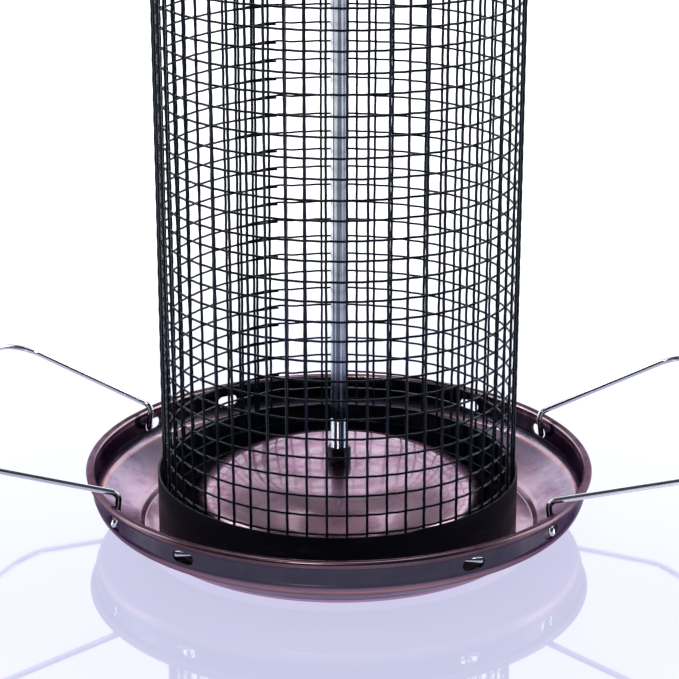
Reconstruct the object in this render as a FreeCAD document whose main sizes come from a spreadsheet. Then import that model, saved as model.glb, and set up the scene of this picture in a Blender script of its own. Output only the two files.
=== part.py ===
"""Tray-and-mesh bird feeder: copper tray, black wire-mesh tube, flip-up wire perches, lid on a centre rod.

Millimetres, +Z up.  The origin is on the tube's axis, at the level of the surface the tray stands on.
"""
import FreeCAD
import Part
import math
import os

from FreeCAD import Placement, Rotation, Vector

doc = FreeCAD.newDocument("mesh_feeder")
sheet = doc.addObject("Spreadsheet::Sheet", "Sizes")

SIZES = [
    # mesh: quarter-inch square mesh, one sheet rolled into a tube and lapped at the back left
    ("mesh_pitch", 6.35),
    ("mesh_wire", 0.95),
    ("upright_ring_radius", 58.82),
    ("hoop_ring_radius", 57.85),
    ("upright_step", 6.12),
    ("upright_count", 61),
    ("first_upright_angle", -147.75),
    ("hoop_count", 40),
    ("first_hoop_level", 7.0),
    ("upright_foot_level", 3.2),
    # black steel bands at both ends of the mesh
    ("band_inner_radius", 59.35),
    ("band_wall", 0.8),
    ("band_tall", 18.9),
    ("top_band_level", 242.0),
    ("rivet_radius", 1.6),
    ("rivet_shank_radius", 0.7),
    ("rivet_angle", 213.0),
    # spun copper
    ("copper_gauge", 0.8),
    ("bead_radius", 1.6),
    ("tray_bead_ring_radius", 83.3),
    ("tray_bead_level", 20.8),
    ("plateau_level", 20.5),
    ("plateau_flat_radius", 9.0),
    ("shoulder_radius", 34.0),
    ("shoulder_level", 19.6),
    ("haunch_radius", 47.5),
    ("haunch_level", 12.0),
    ("dome_foot_radius", 52.6),
    ("foot_ring_radius", 66.9),
    ("slot_level", 16.0),
    ("slot_wide", 8.0),
    ("slot_high", 4.0),
    ("slot_angle", 32.8),
    # rod and its fittings
    ("rod_radius", 2.75),
    ("rod_foot_level", 13.3),
    ("rod_top_level", 364.0),
    ("rod_hole_radius", 3.1),
    ("washer_tall", 0.8),
    ("foot_washer_radius", 4.1),
    ("foot_nut_flats", 7.0),
    ("foot_nut_tall", 4.8),
    ("tray_washer_radius", 7.75),
    ("tray_nut_flats", 10.0),
    ("tray_nut_tall", 4.6),
    # perches
    ("perch_wire_radius", 1.0),
    ("perch_hinge_offset", 69.8),
    ("perch_pin_end", 45.9),
    ("perch_knee", 38.6),
    ("perch_rim_offset", 68.7),
    ("perch_rim_spread", 40.0),
    ("perch_rim_level", 24.5),
    ("perch_rim_radius", 3.2),
    ("perch_pitch_angle", 18.5),
    ("perch_flare_angle", 17.5),
    ("perch_leg", 43.6),
    ("perch_corner_radius", 12.0),
    ("perch_corner_turn", 76.0),
    ("perch_side", 18.0),
    # lid
    ("lid_seat_gap", 0.3),
    ("lid_bead_ring_radius", 76.0),
    ("lid_crown_rise", 22.0),
    ("lid_crown_radius", 13.0),
    ("lid_shoulder_radius", 50.0),
    ("lid_shoulder_rise", 6.5),
    ("lid_seat_inner_radius", 55.0),
    ("lid_seat_outer_radius", 63.0),
    ("lid_brim_drop", 5.6),
    ("locating_ring_radius", 55.6),
    ("locating_ring_tall", 10.0),
    ("ring_wire_radius", 1.3),
    ("ring_radius", 16.0),
    ("ring_lean_angle", 9.0),
    ("eye_level", 375.0),
]
for row, (alias, value) in enumerate(SIZES, start=1):
    sheet.set("A%d" % row, alias)
    sheet.set("B%d" % row, repr(value))
    sheet.setAlias("B%d" % row, alias)
doc.recompute()


def size(alias):
    return float(sheet.get(alias))


def bind(thing, **expressions):
    """Bind each property of a document object to an expression on the sheet's aliases."""
    for name, expression in expressions.items():
        thing.setExpression(name, expression)


def cell(alias):
    return "Sizes." + alias


PARTS = []


def finished(thing, label):
    """Give a sub-part its own name and list it for writing."""
    thing.Label = label
    PARTS.append(thing)
    return thing


# ---------------------------------------------------------------- shapes used more than once

def tube(name, inner, outer, tall, level):
    """A plain ring-shaped wall between two radii."""
    wall = doc.addObject("Part::Cylinder", name + "_wall")
    bind(wall, Radius=outer, Height=tall)
    bind(wall, **{"Placement.Base.z": level})
    bore = doc.addObject("Part::Cylinder", name + "_bore")
    bind(bore, Radius=inner, Height=tall + " + 2")
    bind(bore, **{"Placement.Base.z": level + " - 1"})
    ring = doc.addObject("Part::Cut", name)
    ring.Base = wall
    ring.Tool = bore
    return ring


def hex_nut(name, label, flats, tall, level):
    """A hexagon nut on the rod, chamfered by a cone-ended turning, as a PartDesign body."""
    body = doc.addObject("PartDesign::Body", name)
    sketch = body.newObject("Sketcher::SketchObject", name + "_outline")
    sketch.AttachmentSupport = (origin_plane(body, "XY_Plane"), [""])
    sketch.MapMode = "FlatFace"
    corner_radius = flats / math.sqrt(3)
    corners = [
        Vector(corner_radius * math.cos(math.radians(60 * k)), corner_radius * math.sin(math.radians(60 * k)), 0)
        for k in range(6)
    ]
    for k in range(6):
        sketch.addGeometry(Part.LineSegment(corners[k], corners[(k + 1) % 6]), False)
    sketch.addGeometry(Part.Circle(Vector(0, 0, 0), Vector(0, 0, 1), size("rod_radius") + 0.02), False)
    pad = body.newObject("PartDesign::Pad", name + "_pad")
    pad.Profile = sketch
    pad.Length = tall
    doc.recompute()
    rim_edges = [
        "Edge%d" % (i + 1)
        for i, edge in enumerate(pad.Shape.Edges)
        if abs(edge.CenterOfMass.z - tall) < 1e-6 and len(edge.Vertexes) == 2
    ]
    chamfer = body.newObject("PartDesign::Chamfer", name + "_chamfer")
    chamfer.Base = (pad, rim_edges)
    chamfer.Size = 0.4
    body.Placement = Placement(Vector(0, 0, level), Rotation())
    return finished(body, label)


def origin_plane(body, role):
    return [item for item in body.Origin.OriginFeatures if item.Role == role][0]


def rounded_edges(corners, radii):
    """Edges through the corners, each inner corner replaced by a tangent arc of its radius."""
    edges = []
    last = corners[0]
    for corner, radius, following in zip(corners[1:-1], radii, corners[2:]):
        before = (corner - last).normalize()
        after = (following - corner).normalize()
        turn = before.getAngle(after)
        reach = radius * math.tan(turn / 2)
        start = corner - before * reach
        end = corner + after * reach
        inward = (after - before).normalize()
        middle = corner + inward * (radius / math.cos(turn / 2) - radius)
        edges.append(Part.LineSegment(last, start).toShape())
        edges.append(Part.Arc(start, middle, end).toShape())
        last = end
    edges.append(Part.LineSegment(last, corners[-1]).toShape())
    return edges


def spun_sheet(points, radii, gauge):
    """Turn a sheet of one gauge about the axis from its middle line, given as (radius, level) points."""
    middle = [Vector(x, 0, z) for x, z in points]
    sides = []
    for hand in (1, -1):
        offset = []
        for k, point in enumerate(middle):
            before = (point - middle[max(k - 1, 0)]) if k else (middle[1] - middle[0])
            after = (middle[k + 1] - point) if k + 1 < len(middle) else before
            before.normalize()
            after.normalize()
            left_before = Vector(-before.z, 0, before.x)
            left_after = Vector(-after.z, 0, after.x)
            mitre = left_before + left_after
            mitre = mitre * (gauge / 2 / mitre.dot(left_before))
            offset.append(point + mitre * hand)
        hand_radii = []
        for k, radius in enumerate(radii, start=1):
            before = middle[k] - middle[k - 1]
            after = middle[k + 1] - middle[k]
            turns_left = before.x * after.z - before.z * after.x > 0
            hand_radii.append(radius - gauge / 2 * hand * (1 if turns_left else -1))
        sides.append(rounded_edges(offset, hand_radii))
    left_start = sides[0][0].Vertexes[0].Point
    right_start = sides[1][0].Vertexes[0].Point
    left_end = sides[0][-1].Vertexes[-1].Point
    right_end = sides[1][-1].Vertexes[-1].Point
    ends = [Part.LineSegment(left_start, right_start).toShape(), Part.LineSegment(left_end, right_end).toShape()]
    outline = Part.Wire(Part.__sortEdges__(sides[0] + sides[1] + ends))
    return Part.Face(outline).revolve(Vector(0, 0, 0), Vector(0, 0, 1), 360)


def swept_wire(name, edges, radius):
    """Round wire of one radius along a path of lines and tangent arcs."""
    path = Part.Wire(edges)
    start = edges[0].valueAt(edges[0].FirstParameter)
    heading = edges[0].tangentAt(edges[0].FirstParameter)
    section = Part.Wire([Part.Circle(start, heading, radius).toShape()])
    solid = path.makePipeShell([section], True, True)
    expected = math.pi * radius ** 2 * path.Length
    if abs(solid.Volume - expected) > 0.02 * expected:
        raise RuntimeError("%s: volume %.1f, not section times length %.1f" % (name, solid.Volume, expected))
    return solid


def shaped(name, label, shape):
    thing = doc.addObject("Part::Feature", name)
    thing.Shape = shape
    return finished(thing, label)


# ---------------------------------------------------------------- copper tray

gauge = size("copper_gauge")
bead = size("bead_radius")
tray_bead_ring = size("tray_bead_ring_radius")
tray_bead_level = size("tray_bead_level")
floor_middle = gauge / 2
wall_radius = tray_bead_ring - bead + gauge

tray_line = [
    (size("rod_hole_radius"), size("plateau_level")),
    (size("plateau_flat_radius"), size("plateau_level")),
    (size("shoulder_radius"), size("shoulder_level")),
    (size("haunch_radius"), size("haunch_level")),
    (size("dome_foot_radius"), floor_middle),
    (size("foot_ring_radius") - 0.9, floor_middle),
    (size("foot_ring_radius") + 0.5, floor_middle + 1.6),
    (wall_radius - 1.3, 10.4),
    (wall_radius, 14.0),
    (wall_radius, tray_bead_level),
]
tray_shape = spun_sheet(tray_line, [10.0, 30.0, 12.0, 1.4, 0.8, 1.0, 4.0, 3.0], gauge)
rolled_edge = Part.makeTorus(tray_bead_ring, bead, Vector(0, 0, tray_bead_level))
tray_shape = tray_shape.fuse(rolled_edge)

# four pairs of slots for perch wires, high in the wall, each a short level slot with round ends
slot_wide = size("slot_wide")
slot_high = size("slot_high")
slot_angles = [quarter + side * size("slot_angle") for quarter in (0, 90, 180, 270) for side in (-1, 1)]
for angle in slot_angles:
    straight = slot_wide - slot_high
    block = Part.makeBox(12, straight, slot_high, Vector(tray_bead_ring - 8, -straight / 2, -slot_high / 2))
    cutter = block
    for side in (-1, 1):
        round_end = Part.makeCylinder(
            slot_high / 2, 12, Vector(tray_bead_ring - 8, side * straight / 2, 0), Vector(1, 0, 0)
        )
        cutter = cutter.fuse(round_end)
    cutter.Placement = Placement(Vector(0, 0, size("slot_level")), Rotation(Vector(0, 0, 1), angle))
    tray_shape = tray_shape.cut(cutter)
shaped("tray", "tray", tray_shape.removeSplitter())

# ---------------------------------------------------------------- mesh tube and its two bands

rivet_shares = (0.28, 0.72)


def band(name, level):
    """A rolled band with a row of rivet holes one above the other where its ends lap."""
    plain = tube(
        name + "_plain", cell("band_inner_radius"), cell("band_inner_radius") + " + " + cell("band_wall"),
        cell("band_tall"), level,
    )
    holes = []
    for k, share in enumerate(rivet_shares):
        hole = doc.addObject("Part::Cylinder", "%s_rivet_hole_%d" % (name, k))
        bind(hole, Radius=cell("rivet_shank_radius") + " + 0.05", Height="6")
        hole.Placement = Placement(
            Rotation(Vector(0, 0, 1), size("rivet_angle") - 90).multVec(Vector(size("band_inner_radius") - 2, 0, 0)),
            Rotation(Vector(0, 0, 1), size("rivet_angle") - 90).multiply(Rotation(Vector(0, 1, 0), 90)),
        )
        bind(hole, **{"Placement.Base.z": "%s + %s * %s" % (level, share, cell("band_tall"))})
        holes.append(hole)
    drilled = doc.addObject("Part::MultiFuse", name + "_holes")
    drilled.Shapes = holes
    strip = doc.addObject("Part::Cut", name)
    strip.Base = plain
    strip.Tool = drilled
    return finished(strip, name)


band("base_band", cell("copper_gauge"))
band("top_band", cell("top_band_level"))

mesh_top = size("first_hoop_level") + (size("hoop_count") - 1) * size("mesh_pitch") + 3.0
uprights = []
for k in range(int(size("upright_count"))):
    turn = math.radians(size("first_upright_angle") + k * size("upright_step") - 90)
    foot = Vector(
        size("upright_ring_radius") * math.cos(turn),
        size("upright_ring_radius") * math.sin(turn),
        size("upright_foot_level"),
    )
    uprights.append(Part.makeCylinder(size("mesh_wire") / 2, mesh_top - foot.z, foot))
shaped("mesh_uprights", "mesh_uprights", Part.makeCompound(uprights))

# the hoops are six-sided in section, which keeps forty of them light
hoops = []
for k in range(int(size("hoop_count"))):
    level = size("first_hoop_level") + k * size("mesh_pitch")
    section = [
        Vector(
            size("hoop_ring_radius") + size("mesh_wire") / 2 * math.cos(math.radians(60 * corner)),
            0,
            level + size("mesh_wire") / 2 * math.sin(math.radians(60 * corner)),
        )
        for corner in range(6)
    ]
    section.append(section[0])
    hoops.append(Part.Face(Part.makePolygon(section)).revolve(Vector(0, 0, 0), Vector(0, 0, 1), 360))
shaped("mesh_hoops", "mesh_hoops", Part.makeCompound(hoops))


def band_rivets(name, band_level):
    """Two dome-headed rivets through a band at its lapped ends."""
    outer = size("band_inner_radius") + size("band_wall")
    rivets = []
    for share in rivet_shares:
        shank = Part.makeCylinder(
            size("rivet_shank_radius"), size("band_wall") + 0.3, Vector(outer - size("band_wall"), 0, 0),
            Vector(1, 0, 0),
        )
        ball = Part.makeSphere(size("rivet_radius"), Vector(outer - 0.6, 0, 0))
        keep = Part.makeBox(4, 8, 8, Vector(outer + 0.02, -4, -4))
        rivet = shank.fuse(ball.common(keep))
        rivet.Placement = Placement(
            Vector(0, 0, band_level + share * size("band_tall")),
            Rotation(Vector(0, 0, 1), size("rivet_angle") - 90),
        )
        rivets.append(rivet)
    return shaped(name, name, Part.makeCompound(rivets))


band_rivets("base_band_rivets", size("copper_gauge"))
band_rivets("top_band_rivets", size("top_band_level"))

# ---------------------------------------------------------------- centre rod and what clamps the tray to it

rod = doc.addObject("Part::Cylinder", "rod_bar")
bind(rod, Radius=cell("rod_radius"), Height=cell("rod_top_level") + " - " + cell("rod_foot_level"))
bind(rod, **{"Placement.Base.z": cell("rod_foot_level")})
doc.recompute()
rod_chamfer = doc.addObject("Part::Chamfer", "centre_rod")
rod_chamfer.Base = rod
rod_rims = [i + 1 for i, edge in enumerate(rod.Shape.Edges) if edge.Curve.TypeId == "Part::GeomCircle"]
rod_chamfer.Edges = [(rim, 0.5, 0.5) for rim in rod_rims]
finished(rod_chamfer, "centre_rod")

plateau_top = size("plateau_level") + gauge / 2
plateau_under = size("plateau_level") - gauge / 2
washer_hole = cell("rod_radius") + " + 0.05"
finished(
    tube("foot_washer", washer_hole, cell("foot_washer_radius"), cell("washer_tall"),
         cell("plateau_level") + " + " + cell("copper_gauge") + " / 2"),
    "foot_washer",
)
foot_nut_level = plateau_top + size("washer_tall")
hex_nut("foot_nut_body", "foot_nut", size("foot_nut_flats"), size("foot_nut_tall"), foot_nut_level)
finished(
    tube("tray_washer", washer_hole, cell("tray_washer_radius"), cell("washer_tall"),
         cell("plateau_level") + " - " + cell("copper_gauge") + " / 2 - " + cell("washer_tall")),
    "tray_washer",
)
tray_nut_level = plateau_under - size("washer_tall") - size("tray_nut_tall")
hex_nut("tray_nut_body", "tray_nut", size("tray_nut_flats"), size("tray_nut_tall"), tray_nut_level)

# ---------------------------------------------------------------- wire perches and the front stay

slot_level = size("slot_level")


def mirrored_in_y(corners):
    return [Vector(p.x, -p.y, p.z) for p in reversed(corners)]


def perch_edges():
    """One wire from pin to pin: knee inside the wall, bend over the rim, flared leg, corner, nose, and back."""
    slope = math.radians(size("perch_pitch_angle"))
    flare = math.radians(size("perch_flare_angle"))
    side_angle = flare - math.radians(size("perch_corner_turn"))
    knee_radius = 2.0
    rim_radius = size("perch_rim_radius")
    corner_radius = size("perch_corner_radius")
    outward = Vector(math.cos(slope), 0, math.sin(slope))
    across = Vector(0, 1, 0)
    heading = outward * math.cos(flare) + across * math.sin(flare)
    side = outward * math.cos(side_angle) + across * math.sin(side_angle)
    rim_reach = rim_radius * math.tan(heading.getAngle(Vector(0, 0, 1)) / 2)
    corner_reach = corner_radius * math.tan(math.radians(size("perch_corner_turn")) / 2)
    pin_end = Vector(size("perch_hinge_offset"), size("perch_pin_end"), slot_level)
    knee = Vector(size("perch_hinge_offset"), size("perch_knee"), slot_level)
    over_rim = Vector(size("perch_rim_offset"), size("perch_rim_spread"), size("perch_rim_level"))
    corner = over_rim + heading * (rim_reach + size("perch_leg") + corner_reach)
    side_end = corner + side * (corner_reach + size("perch_side"))
    nose_radius = side_end.y / math.cos(side_angle)
    nose = side_end + side * (side_end.y / -side.y)
    half = [pin_end, knee, over_rim, corner]
    radii = [knee_radius, rim_radius, corner_radius]
    return rounded_edges(half + [nose] + mirrored_in_y(half), radii + [nose_radius] + radii[::-1])


perch = swept_wire("perch", perch_edges(), size("perch_wire_radius"))
for label, turn in (("right_perch", 0), ("left_perch", 180)):
    turned = perch.copy()
    turned.rotate(Vector(0, 0, 0), Vector(0, 0, 1), turn)
    shaped(label, label, turned)

# a short stay lies low behind the front of the wall, its ends turned up into the two front slots
stay_half = [Vector(66.9, 47.7, slot_level), Vector(66.9, 41.6, slot_level), Vector(66.0, 37.4, 11.4)]
stay_path = rounded_edges(stay_half + mirrored_in_y(stay_half), [2.4, 3.0, 3.0, 2.4])
stay = swept_wire("stay", stay_path, size("perch_wire_radius"))
stay.rotate(Vector(0, 0, 0), Vector(0, 0, 1), -90)
shaped("front_stay", "front_stay", stay)

# ---------------------------------------------------------------- lid, bush, knob

seat_level = size("top_band_level") + size("band_tall") + size("lid_seat_gap") + gauge / 2
crown_level = seat_level + size("lid_crown_rise")
lid_bead_ring = size("lid_bead_ring_radius")
brim_level = seat_level - size("lid_brim_drop")
lid_line = [
    (4.3, crown_level),
    (size("lid_crown_radius"), crown_level),
    (size("lid_shoulder_radius"), seat_level + size("lid_shoulder_rise")),
    (size("lid_seat_inner_radius"), seat_level),
    (size("lid_seat_outer_radius"), seat_level),
    (lid_bead_ring - 0.9, brim_level + 0.6),
]
lid_shape = spun_sheet(lid_line, [9.0, 6.0, 1.6, 5.0], gauge)
lid_shape = lid_shape.fuse(Part.makeTorus(lid_bead_ring, bead, Vector(0, 0, brim_level)))
shaped("lid", "lid", lid_shape.removeSplitter())

finished(
    tube("lid_locating_ring", cell("locating_ring_radius"),
         cell("locating_ring_radius") + " + " + cell("copper_gauge"), cell("locating_ring_tall"),
         cell("top_band_level") + " + " + cell("band_tall") + " + " + cell("lid_seat_gap") + " - "
         + cell("locating_ring_tall")),
    "lid_locating_ring",
)

bush_line = doc.addObject("PartDesign::Body", "lid_bush_body")
bush_sketch = bush_line.newObject("Sketcher::SketchObject", "lid_bush_outline")
bush_sketch.AttachmentSupport = (origin_plane(bush_line, "XZ_Plane"), [""])
bush_sketch.MapMode = "FlatFace"
bush_inner = size("rod_radius") + 0.25
bush_points = [(bush_inner, -1.6), (4.2, -1.6), (4.2, gauge / 2), (7.0, gauge / 2), (7.0, 1.4), (bush_inner, 1.4)]
for k, (x, z) in enumerate(bush_points):
    following = bush_points[(k + 1) % len(bush_points)]
    bush_sketch.addGeometry(Part.LineSegment(Vector(x, z, 0), Vector(following[0], following[1], 0)), False)
bush_turned = bush_line.newObject("PartDesign::Revolution", "lid_bush_turned")
bush_turned.Profile = bush_sketch
bush_turned.ReferenceAxis = (bush_sketch, ["V_Axis"])
bush_turned.Angle = 360
bush_line.Placement = Placement(Vector(0, 0, crown_level), Rotation())
finished(bush_line, "lid_bush")

knob_level = crown_level + 1.5
knob_tall = 11.0
knob_outline = Part.makePolygon([
    Vector(4.0, 0, 0), Vector(7.2, 0, 0), Vector(8.6, 0, 1.8), Vector(8.6, 0, 7.6),
    Vector(6.6, 0, knob_tall), Vector(4.0, 0, knob_tall), Vector(4.0, 0, 0),
])
knob_shape = Part.Face(knob_outline).revolve(Vector(0, 0, 0), Vector(0, 0, 1), 360)
groove_count = 18
for k in range(groove_count):
    groove = Part.makeCylinder(0.7, knob_tall + 2, Vector(8.9, 0, -1))
    groove.rotate(Vector(0, 0, 0), Vector(0, 0, 1), 360 * k / groove_count)
    knob_shape = knob_shape.cut(groove)
knob_shape.translate(Vector(0, 0, knob_level))
shaped("lid_knob", "lid_knob", knob_shape)
finished(tube("knob_insert", cell("rod_radius") + " + 0.06", "4.0", "11.0", str(knob_level)), "knob_insert")

# ---------------------------------------------------------------- hanging eye and ring

eye_level = size("eye_level")
eye_ring_radius = 4.0
eye_bar_radius = 2.2
eye_skirt = Part.makeCylinder(5.0, 13.0, Vector(0, 0, size("rod_top_level") - 8.0))
eye_bore = Part.makeCylinder(size("rod_radius") + 0.02, 8.0, Vector(0, 0, size("rod_top_level") - 8.0))
eye_loop = Part.makeTorus(eye_ring_radius, eye_bar_radius, Vector(0, 0, eye_level), Vector(0, 1, 0))
eye_hole = Part.makeCylinder(eye_ring_radius - eye_bar_radius, 20, Vector(0, -10, eye_level), Vector(0, 1, 0))
eye_shape = eye_skirt.fuse(eye_loop).cut(eye_hole).cut(eye_bore)
shaped("eye_nut", "eye_nut", eye_shape)

ring_radius = size("ring_radius")
ring_shape = Part.makeTorus(ring_radius, size("ring_wire_radius"), Vector(0, 0, -ring_radius), Vector(1, 0, 0))
ring_shape.rotate(Vector(0, 0, 0), Vector(0, 1, 0), -size("ring_lean_angle"))
ring_shape.translate(Vector(0, 0, eye_level))
shaped("hanging_ring", "hanging_ring", ring_shape)

# ---------------------------------------------------------------- check and write

doc.recompute()
for thing in doc.Objects:
    if "Invalid" in thing.State or "Error" in thing.State:
        raise RuntimeError("%s failed: %s" % (thing.Name, thing.State))
os.makedirs("parts", exist_ok=True)
for part in PARTS:
    shape = part.Shape
    if shape.isNull() or not shape.isValid() or not shape.Solids:
        raise RuntimeError("%s has no valid solid" % part.Label)
    shape.exportStep("parts/%s.step" % part.Label)
    box = shape.BoundBox
    print("%-20s %2d solids  volume %9.1f  z %.1f to %.1f" % (
        part.Label, len(shape.Solids), shape.Volume, box.ZMin, box.ZMax))
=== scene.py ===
"""Bird feeder: copper tray, black wire-mesh tube on a steel rod, fold-up wire perches and a copper lid."""
import math
import random

import bpy
from mathutils import Matrix, Vector


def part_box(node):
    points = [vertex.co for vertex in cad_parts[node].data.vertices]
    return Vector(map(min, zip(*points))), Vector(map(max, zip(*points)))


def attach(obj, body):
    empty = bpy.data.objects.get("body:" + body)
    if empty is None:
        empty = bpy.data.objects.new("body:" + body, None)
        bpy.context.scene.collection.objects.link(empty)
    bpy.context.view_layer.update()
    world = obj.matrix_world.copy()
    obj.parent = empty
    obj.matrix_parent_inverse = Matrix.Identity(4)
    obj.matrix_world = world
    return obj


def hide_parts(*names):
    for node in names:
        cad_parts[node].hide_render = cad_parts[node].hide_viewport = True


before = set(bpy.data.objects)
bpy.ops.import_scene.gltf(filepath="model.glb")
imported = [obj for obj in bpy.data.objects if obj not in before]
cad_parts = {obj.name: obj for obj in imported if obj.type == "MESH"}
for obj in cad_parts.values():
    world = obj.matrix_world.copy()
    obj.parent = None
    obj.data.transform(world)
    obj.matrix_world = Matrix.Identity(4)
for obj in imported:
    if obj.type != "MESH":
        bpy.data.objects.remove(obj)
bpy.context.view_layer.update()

bl_info = {
    "name": "Mesh bird feeder",
    "version": (1, 0, 0),
    "blender": (4, 5, 0),
    "location": "View3D > Sidebar > Feeder",
    "description": "Builds the looks of a tray-and-mesh bird feeder round its packed frame",
    "category": "Object",
}

MM = 0.001
UPRIGHT_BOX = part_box("mesh_uprights")
ROD_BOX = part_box("centre_rod")


# ---------------------------------------------------------------- sizes and colours a user may change

def length(name, description, millimetres):
    return bpy.props.FloatProperty(
        name=name, description=description, default=millimetres * MM, unit="LENGTH", precision=5
    )


def colour(name, description, default):
    return bpy.props.FloatVectorProperty(
        name=name, description=description, default=default, size=3, subtype="COLOR", min=0.0, max=1.0
    )


class FeederSizes(bpy.types.PropertyGroup):
    gauge: length("Sheet gauge", "Thickness of the copper and of the steel bands", 0.8)
    mesh_pitch: length("Mesh pitch", "Spacing of the hoops of the mesh", 6.35)
    upright_wire: length("Upright wire", "Diameter of the mesh's upright wires", 0.92)
    hoop_wire: length("Hoop wire", "Diameter of the mesh's hoop wires", 0.76)
    crimp: length("Crimp", "How far an upright bows out over each hoop", 0.14)
    perch_wire: length("Perch wire", "Diameter of the perch wire", 2.0)
    ring_wire: length("Ring wire", "Diameter of the hanging ring's wire", 2.6)


class FeederColours(bpy.types.PropertyGroup):
    copper: colour("Copper", "Bright rubbed copper", (0.60, 0.38, 0.50))
    patina: colour("Patina", "Darkened copper between the rubbed places", (0.30, 0.175, 0.24))
    wire: colour("Wire coating", "Black dipped coating of the mesh", (0.004, 0.006, 0.011))
    band: colour("Band paint", "Black paint of the bands", (0.006, 0.006, 0.010))
    steel: colour("Steel", "Polished steel", (0.70, 0.72, 0.78))
    fitting: colour("Fittings", "Blackened steel fittings", (0.016, 0.017, 0.022))
    zinc: colour("Zinc", "Zinc plated steel", (0.56, 0.57, 0.60))
    brass: colour("Brass", "Turned brass", (0.72, 0.52, 0.25))
    plastic: colour("Knob", "Black moulded knob", (0.014, 0.014, 0.016))
    table: colour("Table", "Pale glossy table", (0.545, 0.555, 0.735))


def sizes():
    return bpy.context.scene.feeder_sizes


def colours():
    return bpy.context.scene.feeder_colours


# ---------------------------------------------------------------- shader maths

class Value:
    """One output of a node; arithmetic on it adds Math nodes."""

    def __init__(self, finish, socket):
        self.finish = finish
        self.socket = socket

    def _maths(self, operation, first, second):
        return self.finish.add("ShaderNodeMath", {"operation": operation}, {0: first, 1: second})

    def __add__(self, other):
        return self._maths("ADD", self, other)

    def __radd__(self, other):
        return self._maths("ADD", other, self)

    def __sub__(self, other):
        return self._maths("SUBTRACT", self, other)

    def __rsub__(self, other):
        return self._maths("SUBTRACT", other, self)

    def __mul__(self, other):
        return self._maths("MULTIPLY", self, other)

    def __truediv__(self, other):
        return self._maths("DIVIDE", self, other)

    def __pow__(self, other):
        return self._maths("POWER", self, other)


class Finish:
    """A material being made up: one Principled shader and the nodes that vary it over the surface."""

    def __init__(self, name, **constants):
        self.material = bpy.data.materials.new(name)
        self.material.use_nodes = True
        self.nodes = self.material.node_tree.nodes
        self.links = self.material.node_tree.links
        self.shader = self.nodes["Principled BSDF"]
        for socket, value in constants.items():
            self.shader.inputs[socket.replace("_", " ")].default_value = value
        self.place = self.add("ShaderNodeTexCoord", output="Object")

    def add(self, kind, settings=None, inputs=None, output=0):
        """Add a node of one kind, set it up, feed its sockets with numbers or values, and give one output."""
        node = self.nodes.new(kind)
        for name, setting in (settings or {}).items():
            setattr(node, name, setting)
        for socket, feed in (inputs or {}).items():
            if isinstance(feed, Value):
                self.links.new(feed.socket, node.inputs[socket])
            else:
                node.inputs[socket].default_value = feed
        return Value(self, node.outputs[output])

    def feed(self, **inputs):
        """Link what varies over the surface to the shader's own sockets."""
        for socket, value in inputs.items():
            self.links.new(value.socket, self.shader.inputs[socket.replace("_", " ")])
        return self.material

    def noise(self, scale, vector=None, detail=3.0, roughness=0.55):
        return self.add(
            "ShaderNodeTexNoise", {},
            {"Vector": vector or self.place, "Scale": scale, "Detail": detail, "Roughness": roughness},
        )

    def stretched(self, scale):
        return self.add("ShaderNodeMapping", {}, {"Vector": self.place, "Scale": scale})

    def step(self, value, low, high):
        """0 below low, 1 above high and smooth between; low may be the larger."""
        return self.add(
            "ShaderNodeMapRange", {"interpolation_type": "SMOOTHSTEP"},
            {"Value": value, "From Min": low, "From Max": high},
        )

    def band(self, value, rising, full, falling, gone):
        """0 up to rising, 1 from full to falling and 0 again from gone."""
        return self.step(value, rising, full) * self.step(value, gone, falling)

    def mix(self, factor, first, second):
        """Blend two colours, each a value or a plain colour."""
        feeds = {"Factor": factor}
        for socket, feed in ((6, first), (7, second)):
            feeds[socket] = feed if isinstance(feed, Value) else (*feed, 1.0)
        return self.add("ShaderNodeMix", {"data_type": "RGBA"}, feeds, 2)

    def bump(self, height, strength, distance):
        return self.add(
            "ShaderNodeBump", {}, {"Height": height, "Strength": strength, "Distance": distance}
        )

    def vector(self, x, y, z):
        return self.add("ShaderNodeCombineXYZ", {}, {0: x, 1: y, 2: z})

    def facing_up(self):
        """How far the surface faces up, from -1 to 1."""
        normal = self.add("ShaderNodeNewGeometry", output="Normal")
        return self.add("ShaderNodeSeparateXYZ", {}, {0: normal}, 2)

    def round_axis(self):
        """Radius from the rod's axis, the two parts of the heading round it, and height."""
        parts = [self.add("ShaderNodeSeparateXYZ", {}, {0: self.place}, part) for part in range(3)]
        radius = (parts[0] * parts[0] + parts[1] * parts[1]) ** 0.5
        return radius, parts[0] / radius, parts[1] / radius, parts[2]


# ---------------------------------------------------------------- finishes

# Tones laid over the copper, and the radii and levels in metres between which each comes in; apart from the
# stains, they are painted light and shade.
# Painted dark reflection: the copper turns darker and cooler towards the wall.
OUTER_DARK_REFLECTION_TONE = (0.190, 0.160, 0.255)
OUTER_DARK_REFLECTION_RADII = (0.064, 0.080)
# Painted shade on the copper that faces down.
UNDERSIDE_SHADE_TONE = (0.300, 0.185, 0.225)
# Painted dark reflection on the curled rim, a little lighter where the copper is rubbed.
CURL_DARK_REFLECTION_TONE = (0.075, 0.034, 0.028)
# Painted highlight: a thin bright line along the rim's inner top edge.
LIT_EDGE_TONE = (0.780, 0.620, 0.640)
LIT_EDGE_RADII = (0.0826, 0.0821)
LIT_EDGE_LEVELS = (0.0210, 0.0216)
# Painted highlight: the step at the foot ring is lightened, and made rougher below.
FOOT_RING_HIGHLIGHT_TONE = (0.860, 0.560, 0.700)
FOOT_RING_RADII = (0.0652, 0.0658, 0.0678, 0.0684)
FOOT_RING_LEVELS = (0.0036, 0.0028)
# Painted highlight along the foot of the wall, strongest where the copper is rubbed.
WALL_FOOT_HIGHLIGHT_TONE = (0.620, 0.290, 0.215)
WALL_FOOT_RADII = (0.0785, 0.0795)
WALL_FOOT_LEVELS = (0.0097, 0.0103, 0.0109, 0.0116)
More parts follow.
